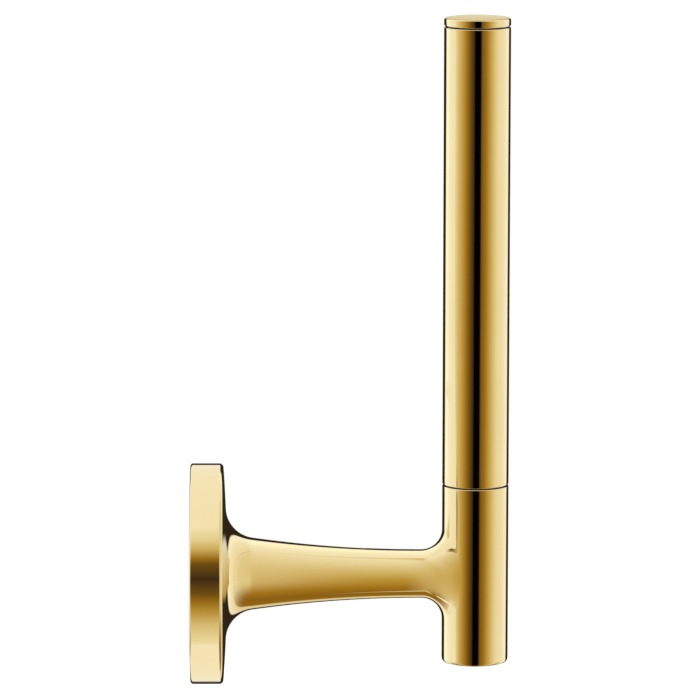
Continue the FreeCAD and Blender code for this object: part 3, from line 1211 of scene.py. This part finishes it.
def rim_panel():
    """In front of the rosette's rim: dark level with the arm, and bright above and below."""
    levels = [(-130, 1.0), (-62, 0.97), (-35, 0.93), (-21.8, 0.83), (-13, 0.72), (-7.3, 0.52), (-2.96, 0.31)]
    levels += [(-0.95, 0.17), (3.9, 0.043), (9.07, 0.16), (11.3, 0.36), (15.3, 0.66), (20.4, 0.83)]
    levels += [(31, 0.95), (130, 1.0)]
    corners = upright_facing_out(-14, 9.5, RIM_PANEL_Y, -130, 130)
    panel("rim_panel", corners, 2, levels, [(2, -122, -130), (2, 60, 130)])


def rim_card(name, z, back):
    """Above or below the rosette: a bright card that lights the rim there, up to a thin dark edge."""
    panel(name, flat_card(-14, 9.5, -40, back, z), 1, [(-40, 0.95), (back, 0.95)], [(1, back - 5, back)])


def horn_panel():
    """Behind the arm: what the flare mirrors beside the rosette, between its dark top and bottom."""
    levels = [(-9, 0.42), (-3, 0.60), (2, 0.72), (8, 0.85)]
    panel("horn_panel", upright_facing_out(8.5, 40, 8, -9, 8), 2, levels, [(2, 5, 8), (2, -6, -9)])


def lid_panel():
    """Behind the post's top: what the flat lid mirrors."""
    low = CAP_HIGH.z + 0.3
    steps_up = [(0, 0.80), (0.6, 0.78), (1.2, 0.75), (1.5, 0.74), (2.0, 0.58), (5.7, 0.58)]
    levels = [(low + place, level) for place, level in steps_up]
    panel("lid_panel", upright_facing_out(REACH - 11, REACH + 11, 14, low, low + 5.7), 2, levels)


FLOOR_Z = -850.0
FLOOR_HALF = 4000.0


def pale_floor():
    """A wide pale floor far below, which keeps the holder's soft shadow."""
    material, tree = new_material("pale_floor")
    path = tree.node("ShaderNodeLightPath")
    paint = tree.node("ShaderNodeBsdfDiffuse", None, {"Color": (0.86, 0.86, 0.86, 1)})
    white = tree.node("ShaderNodeEmission", None, {"Color": WHITE, "Strength": 0.75})
    sheen = tree.node("ShaderNodeAddShader", None, {0: paint.outputs[0], 1: white.outputs[0]})
    tree.output(tree.blend(path.outputs["Is Camera Ray"], paint.outputs[0], sheen.outputs[0]))
    corners = flat_card(-FLOOR_HALF, FLOOR_HALF, -FLOOR_HALF, FLOOR_HALF, FLOOR_Z)
    floor = staged_card("floor", corners, material)
    floor.visible_glossy = False


def soft_lamp(name, place, aim, size, watts):
    light = bpy.data.lights.new(name, "AREA")
    light.shape = "RECTANGLE"
    light.size, light.size_y = size
    light.energy = watts
    lamp = bpy.data.objects.new(name, light)
    lamp.location = place
    lamp.rotation_euler = (Vector(aim) - Vector(place)).to_track_quat("-Z", "Y").to_euler()
    lamp.visible_glossy = False
    bpy.context.scene.collection.objects.link(lamp)


def studio_lamps():
    """Two large soft lamps, which give shape and a soft shadow."""
    middle = (REACH * MM / 2, 0, 0.05)
    soft_lamp("key_lamp", (-0.9, -1.1, 1.5), middle, (1.2, 1.2), 26)
    soft_lamp("fill_lamp", (1.3, -0.6, 0.9), middle, (1.4, 1.4), 12)


LENS_LENGTH = 303.9  # millimetres, on a sensor 36 wide
CAMERA_PLACE = (0.020, -1.317, 0.2543)
CAMERA_DOWN = 8.762  # degrees
CAMERA_RIGHT = 0.699
CAMERA_ROLL = 0.098


def camera():
    """Long lens, a little above the object, looking slightly down."""
    lens = bpy.data.cameras.new("camera")
    lens.sensor_width = 36.0
    lens.lens = LENS_LENGTH
    lens.clip_start = 0.05
    lens.clip_end = 30.0
    eye = bpy.data.objects.new("camera", lens)
    turn = Euler((math.radians(90 - CAMERA_DOWN), 0, math.radians(-CAMERA_RIGHT))).to_matrix().to_4x4()
    roll = Matrix.Rotation(math.radians(CAMERA_ROLL), 4, "Z")
    eye.matrix_world = Matrix.Translation(CAMERA_PLACE) @ turn @ roll
    bpy.context.scene.collection.objects.link(eye)
    bpy.context.scene.camera = eye


# ---------------------------------------------------------------- scene

camera()
bpy.context.scene.view_settings.view_transform = "Standard"

gold = polished_gold()
raw_brass = cast_brass()
plug_brass = turned_metal("turned_brass", (0.80, 0.62, 0.30), (0.70, 0.52, 0.24), 0.22)
plate_steel = turned_metal("bracket_steel", (0.60, 0.60, 0.59), (0.52, 0.52, 0.51), 0.32, 2.0)
screw_steel = turned_metal("screw_steel", (0.52, 0.52, 0.51), (0.42, 0.42, 0.41), 0.28)
nylon = soft_black("black_nylon", (0.006, 0.006, 0.006), 0.55, 0.00002)
rubber = soft_black("black_rubber", (0.022, 0.022, 0.022), 0.6, 0.00003)

turning = turning_rule()
threading = thread_rule()

casting(gold, raw_brass)
post_tube(turning, gold)
post_cap(turning, gold)
cap_ring(turning, rubber)
seam_washer(turning, nylon)
tube_plug(turning, plug_brass)
stud(turning, threading, screw_steel)
grub_screw(threading, screw_steel)
bracket(turning, plate_steel)

studio_world()
post_panel()
rim_panel()
rim_card("card_over_rim", 32, 40)
rim_card("card_under_rim", -32, 5)
horn_panel()
lid_panel()
pale_floor()
studio_lamps()
